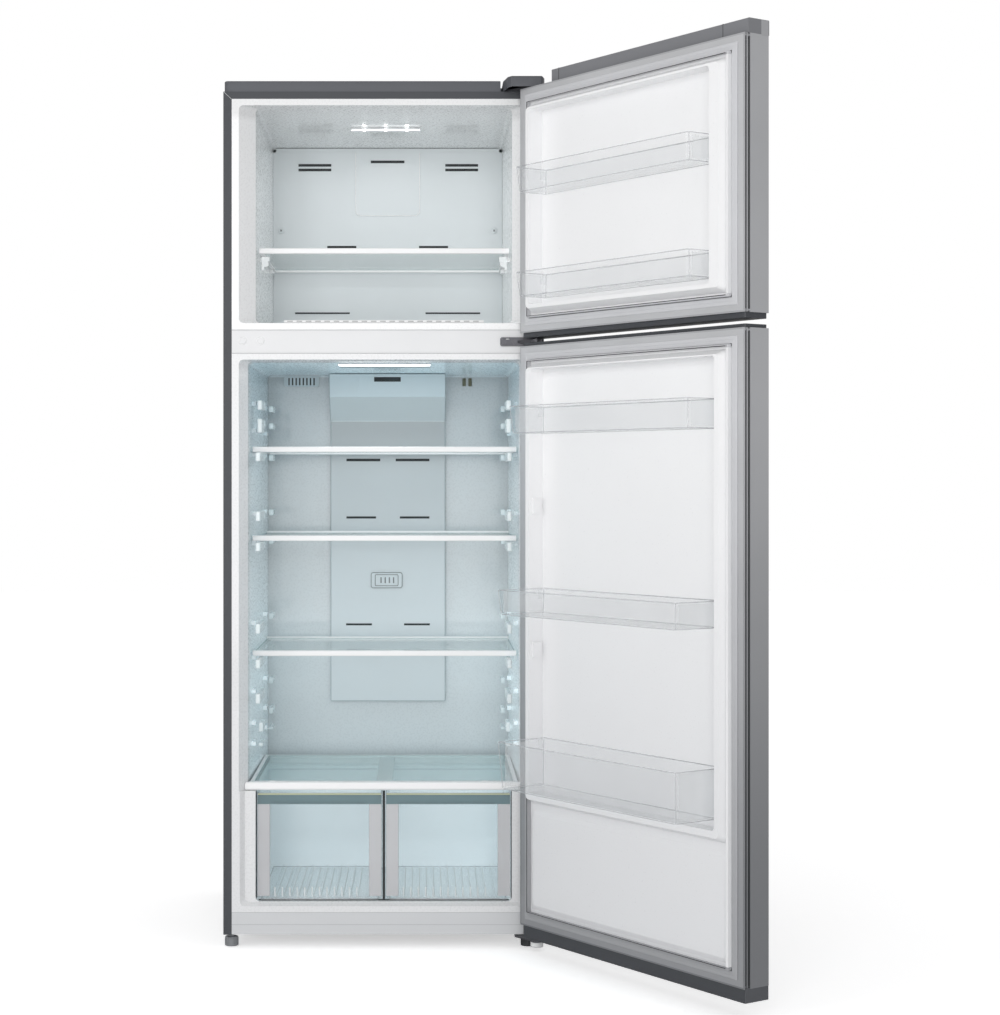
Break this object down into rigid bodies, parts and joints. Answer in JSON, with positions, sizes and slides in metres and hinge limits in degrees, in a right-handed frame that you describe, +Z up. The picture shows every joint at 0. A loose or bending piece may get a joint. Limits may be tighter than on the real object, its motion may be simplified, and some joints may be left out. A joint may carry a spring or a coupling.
{
  "type": "top freezer refrigerator",
  "caption": "Tall two-door refrigerator with a top freezer, shown open, with glass shelves, crisper drawers and clear door bins.",
  "frame": {"origin": "on the floor, midway between the cabinet's sides, under the cabinet's front edge", "axes": "+Z up, +X to the right seen from the front (the hinge side), front towards -Y"},
  "size_m": [1.0707, 1.2457, 1.8531],
  "materials": {
    "side_steel": "satin",
    "door_steel": "satin",
    "dark_plastic": "satin",
    "white_liner": "satin",
    "cool_liner": "satin",
    "white_plastic": "satin",
    "panel_plastic": "satin",
    "gasket": "matte",
    "foam": "matte",
    "clear_plastic": "gloss",
    "glass": "gloss",
    "lamp": "satin",
    "hinge_steel": "satin",
    "galvanised": "satin",
    "black_paint": "satin",
    "grey_plastic": "satin",
    "roller_plastic": "satin"
  },
  "bodies": {
    "cabinet": {"cabinet_shell": "side_steel", "top_cover": "dark_plastic", "back_panel": "galvanised", "power_gland": "roller_plastic", "insulation": "foam", "freezer_liner": "white_liner", "fridge_liner": "cool_liner", "mullion_cover": "white_plastic", "kick_panel": "white_plastic", "evaporator_cover": "panel_plastic", "evaporator_coil": "galvanised", "freezer_light": "lamp", "return_grille": "white_plastic", "air_duct_cover": "panel_plastic", "filter_cover": "panel_plastic", "vent_grille": "panel_plastic", "fridge_light": "lamp", "top_hinge": "hinge_steel", "hinge_cover": "dark_plastic", "middle_hinge": "hinge_steel", "bottom_hinge": "hinge_steel", "base_plate": "galvanised", "compressor": "black_paint", "drain_pan": "roller_plastic"},
    "evaporator_fan": {"evaporator_fan": "white_plastic"},
    "foot_left": {"foot_left": "grey_plastic"},
    "foot_right": {"foot_right": "roller_plastic"},
    "roller_left": {"roller_left": "roller_plastic"},
    "roller_right": {"roller_right": "roller_plastic"},
    "freezer_shelf": {"freezer_shelf_trim": "white_plastic", "freezer_shelf_glass": "glass"},
    "upper_shelf": {"upper_shelf_trim": "white_plastic", "upper_shelf_glass": "glass"},
    "middle_shelf": {"middle_shelf_trim": "white_plastic", "middle_shelf_glass": "glass"},
    "lower_shelf": {"lower_shelf_trim": "white_plastic", "lower_shelf_glass": "glass"},
    "crisper_cover": {"crisper_cover_frame": "white_plastic", "crisper_cover_glass": "glass"},
    "humidity_slider_left": {"humidity_slider_left": "white_plastic"},
    "humidity_slider_right": {"humidity_slider_right": "white_plastic"},
    "crisper_drawer_left": {"crisper_drawer_left": "clear_plastic"},
    "crisper_drawer_right": {"crisper_drawer_right": "clear_plastic"},
    "freezer_door": {"freezer_door_skin": "door_steel", "freezer_door_liner": "white_liner", "freezer_door_foam": "foam", "freezer_door_gasket": "gasket", "freezer_door_trim": "grey_plastic", "freezer_door_cap": "dark_plastic"},
    "fridge_door": {"fridge_door_skin": "door_steel", "fridge_door_liner": "white_liner", "fridge_door_foam": "foam", "fridge_door_gasket": "gasket", "fridge_door_top_cap": "dark_plastic", "fridge_door_bottom_cap": "dark_plastic"},
    "freezer_bin_upper": {"freezer_bin_upper": "clear_plastic"},
    "freezer_bin_lower": {"freezer_bin_lower": "clear_plastic"},
    "fridge_bin_upper": {"fridge_bin_upper": "clear_plastic"},
    "fridge_bin_middle": {"fridge_bin_middle": "clear_plastic"},
    "fridge_bin_lower": {"fridge_bin_lower": "clear_plastic"}
  },
  "joints": [
    {"name": "freezer_door_hinge", "type": "hinge", "parent": "cabinet", "child": "freezer_door", "pos_m": [0.3243, -0.041, 1.567], "axis": [0, 0, 1], "range_deg": [-124.4, 8]},
    {"name": "fridge_door_hinge", "type": "hinge", "parent": "cabinet", "child": "fridge_door", "pos_m": [0.3243, -0.041, 0.67], "axis": [0, 0, 1], "range_deg": [-124.4, 8]},
    {"name": "freezer_shelf_slide", "type": "slide", "parent": "cabinet", "child": "freezer_shelf", "axis": [0, -1, 0], "range_m": [0, 0.25]},
    {"name": "upper_shelf_slide", "type": "slide", "parent": "cabinet", "child": "upper_shelf", "axis": [0, -1, 0], "range_m": [0, 0.25]},
    {"name": "middle_shelf_slide", "type": "slide", "parent": "cabinet", "child": "middle_shelf", "axis": [0, -1, 0], "range_m": [0, 0.25]},
    {"name": "lower_shelf_slide", "type": "slide", "parent": "cabinet", "child": "lower_shelf", "axis": [0, -1, 0], "range_m": [0, 0.25]},
    {"name": "crisper_drawer_left_slide", "type": "slide", "parent": "cabinet", "child": "crisper_drawer_left", "axis": [0, -1, 0], "range_m": [0, 0.26]},
    {"name": "crisper_drawer_right_slide", "type": "slide", "parent": "cabinet", "child": "crisper_drawer_right", "axis": [0, -1, 0], "range_m": [0, 0.26]},
    {"name": "crisper_cover_lift", "type": "slide", "parent": "cabinet", "child": "crisper_cover", "axis": [0, 0, 1], "range_m": [0, 0.06]},
    {"name": "humidity_slider_left_slide", "type": "slide", "parent": "crisper_cover", "child": "humidity_slider_left", "axis": [1, 0, 0], "range_m": [0, 0.022]},
    {"name": "humidity_slider_right_slide", "type": "slide", "parent": "crisper_cover", "child": "humidity_slider_right", "axis": [1, 0, 0], "range_m": [0, 0.022]},
    {"name": "freezer_bin_upper_lift", "type": "slide", "parent": "freezer_door", "child": "freezer_bin_upper", "axis": [0, 0, 1], "range_m": [0, 0.025]},
    {"name": "freezer_bin_lower_lift", "type": "slide", "parent": "freezer_door", "child": "freezer_bin_lower", "axis": [0, 0, 1], "range_m": [0, 0.025]},
    {"name": "fridge_bin_upper_lift", "type": "slide", "parent": "fridge_door", "child": "fridge_bin_upper", "axis": [0, 0, 1], "range_m": [0, 0.025]},
    {"name": "fridge_bin_middle_lift", "type": "slide", "parent": "fridge_door", "child": "fridge_bin_middle", "axis": [0, 0, 1], "range_m": [0, 0.025]},
    {"name": "fridge_bin_lower_lift", "type": "slide", "parent": "fridge_door", "child": "fridge_bin_lower", "axis": [0, 0, 1], "range_m": [0, 0.025]},
    {"name": "evaporator_fan_spin", "type": "hinge", "parent": "cabinet", "child": "evaporator_fan", "pos_m": [0, 0.533, 1.68861], "axis": [0, 1, 0], "continuous": true},
    {"name": "foot_left_turn", "type": "hinge", "parent": "cabinet", "child": "foot_left", "pos_m": [-0.3265, 0.022, 0.01], "axis": [0, 0, 1], "continuous": true},
    {"name": "foot_right_turn", "type": "hinge", "parent": "cabinet", "child": "foot_right", "pos_m": [0.3085, 0.022, 0.01], "axis": [0, 0, 1], "continuous": true},
    {"name": "roller_left_roll", "type": "hinge", "parent": "cabinet", "child": "roller_left", "pos_m": [-0.29, 0.56, 0.02], "axis": [1, 0, 0], "continuous": true},
    {"name": "roller_right_roll", "type": "hinge", "parent": "cabinet", "child": "roller_right", "pos_m": [0.29, 0.56, 0.02], "axis": [1, 0, 0], "continuous": true}
  ]
}
